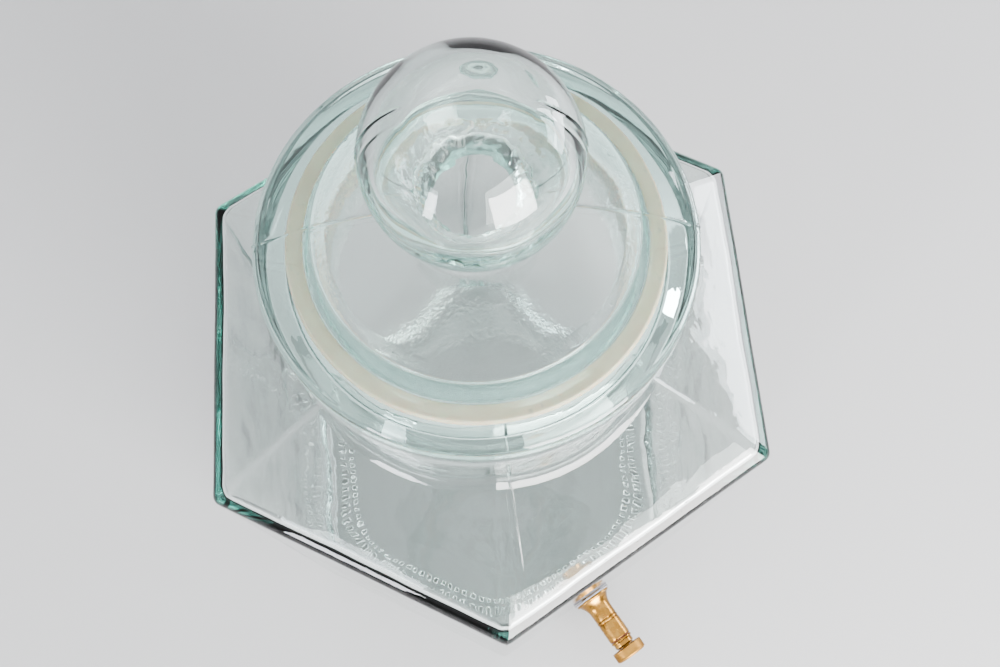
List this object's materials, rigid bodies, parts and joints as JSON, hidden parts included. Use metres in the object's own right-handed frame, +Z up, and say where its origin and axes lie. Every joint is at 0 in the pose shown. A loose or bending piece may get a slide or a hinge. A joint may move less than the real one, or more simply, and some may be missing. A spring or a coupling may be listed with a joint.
{
  "type": "drinks dispenser jar",
  "caption": "Tall hexagonal glass jar for drinks with a round neck, a domed glass lid with a hollow ball knob on a seal ring, and a screw-down brass tap near the base.",
  "frame": {"origin": "middle of the footprint of jar and tap together, on the surface that the jar stands on", "axes": "+Z up along the jar's axis, -Y towards the tap, +X to the right seen from the tap's side"},
  "size_m": [0.2962, 0.2975, 0.493],
  "materials": {
    "jar_glass": "clear pressed glass with a green tint",
    "lid_glass": "clear blown glass with a green tint",
    "cream_silicone": "matt cream silicone",
    "aged_brass": "turned brass, slightly aged",
    "grey_rubber": "matt grey rubber",
    "red_fibre": "matt fibre packing"
  },
  "bodies": {
    "jar": {"jar_body": "jar_glass", "outer_washer": "grey_rubber", "inner_washer": "grey_rubber", "inner_metal_washer": "aged_brass", "spigot_body": "aged_brass", "spout": "aged_brass", "lock_nut": "aged_brass", "bonnet_seal": "red_fibre", "bonnet": "aged_brass", "stem_packing": "red_fibre", "gland_nut": "aged_brass"},
    "lid_seal": {"lid_seal_ring": "cream_silicone"},
    "lid": {"lid_glass": "lid_glass"},
    "tap_valve": {"jumper": "aged_brass", "seat_washer": "grey_rubber", "seat_washer_screw": "aged_brass"},
    "tap_spindle": {"stem": "aged_brass", "knob": "aged_brass", "knob_screw": "aged_brass"}
  },
  "joints": [
    {"name": "lid_lift", "type": "slide", "parent": "jar", "child": "lid_seal", "axis": [0, 0, 1], "range_m": [0, 0.15]},
    {"name": "lid_turn", "type": "hinge", "parent": "lid_seal", "child": "lid", "pos_m": [0, 0.01878, 0.38], "axis": [0, 0, 1], "continuous": true},
    {"name": "valve_travel", "type": "slide", "parent": "jar", "child": "tap_valve", "axis": [0, -0.9993, -0.0363], "range_m": [0, 0.003]},
    {"name": "knob_turn", "type": "hinge", "parent": "tap_valve", "child": "tap_spindle", "pos_m": [0, -0.10198, 0.0345], "axis": [0, -0.9993, -0.0363], "range_deg": [0, 540]}
  ],
  "couplings": [
    {"joint": "knob_turn", "follows": "valve_travel", "rad_per_m": 3141.6}
  ]
}
